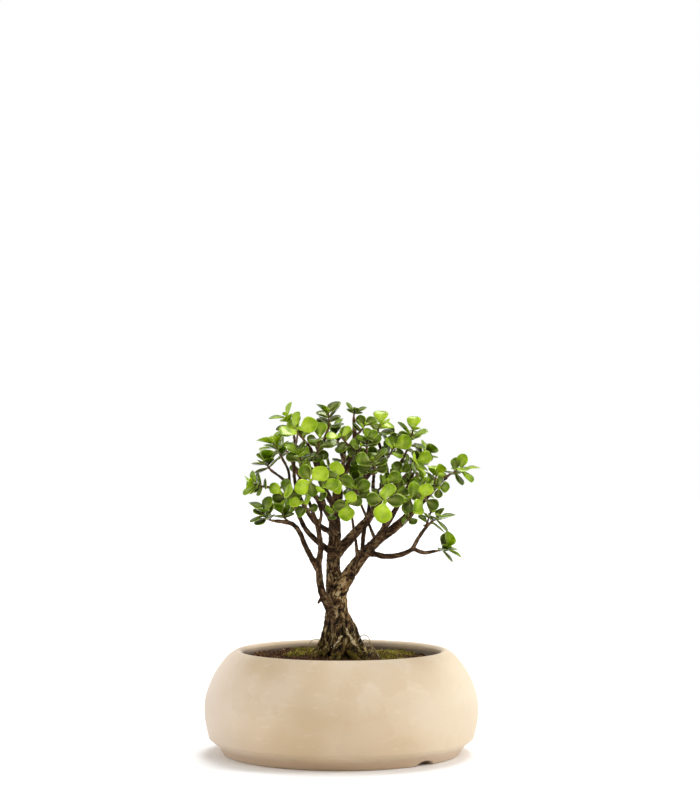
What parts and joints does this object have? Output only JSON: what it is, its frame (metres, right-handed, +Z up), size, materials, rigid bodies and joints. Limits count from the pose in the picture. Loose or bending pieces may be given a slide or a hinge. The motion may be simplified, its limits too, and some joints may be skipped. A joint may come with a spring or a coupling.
{
  "type": "potted dwarf jade bonsai",
  "caption": "Small-leaved succulent bonsai tree with a flared trunk and forking limbs, planted in a round unglazed bowl with an in-turned rim.",
  "frame": {"origin": "on the pot's axis, on the surface that its foot ring stands on", "axes": "+Z up, along the pot's axis; -Y towards the front of the tree, +X towards its long right limb"},
  "size_m": [0.2, 0.2, 0.2566],
  "materials": {
    "stoneware": "matte unglazed cream clay with fine grain",
    "net": "dark matte plastic mesh",
    "soil": "dark damp potting soil with moss",
    "bark": "rough grey-brown bark",
    "leaf": "glossy fleshy yellow-green"
  },
  "bodies": {
    "root": {"pot": "stoneware", "drain_mesh": "net", "soil": "soil", "trunk": "bark", "spray_front_stub_1": "leaf", "spray_front_centre_1": "leaf", "spray_left_front_1": "leaf", "spray_right_limb_1": "leaf", "spray_thin_stem_1": "leaf", "spray_upper_front_1": "leaf", "spray_front_left_1": "leaf", "spray_trunk_1": "leaf", "spray_right_limb_2": "leaf", "spray_right_limb_3": "leaf", "spray_right_limb_4": "leaf", "spray_right_limb_5": "leaf", "spray_right_limb_6": "leaf", "spray_right_limb_7": "leaf", "spray_low_right_1": "leaf", "spray_low_right_fork_1": "leaf", "spray_low_right_fork_2": "leaf", "spray_right_fork_1": "leaf", "spray_right_fork_2": "leaf", "spray_right_fork_3": "leaf", "spray_fork_back_1": "leaf", "spray_fork_back_2": "leaf", "spray_fork_top_1": "leaf", "spray_fork_top_2": "leaf", "spray_limb_branch_1": "leaf", "spray_limb_branch_2": "leaf", "spray_inner_stem_1": "leaf", "spray_cross_stem_1": "leaf", "spray_front_right_1": "leaf", "spray_front_right_2": "leaf", "spray_trunk_2": "leaf", "spray_trunk_3": "leaf", "spray_trunk_4": "leaf", "spray_upper_front_2": "leaf", "spray_front_left_2": "leaf", "spray_left_low_1": "leaf", "spray_left_low_2": "leaf", "spray_left_far_1": "leaf", "spray_left_tip_1": "leaf", "spray_left_branch_1": "leaf", "spray_left_branch_2": "leaf", "spray_left_stem_1": "leaf", "spray_left_stem_2": "leaf", "spray_left_inner_1": "leaf", "spray_left_inner_2": "leaf", "spray_left_upper_1": "leaf", "spray_left_upper_2": "leaf", "spray_back_left_1": "leaf", "spray_back_left_2": "leaf", "spray_back_right_1": "leaf", "spray_back_right_2": "leaf", "spray_back_right_3": "leaf", "spray_back_centre_1": "leaf", "spray_back_centre_2": "leaf", "spray_back_centre_3": "leaf", "spray_left_inner_3": "leaf"}
  },
  "joints": []
}
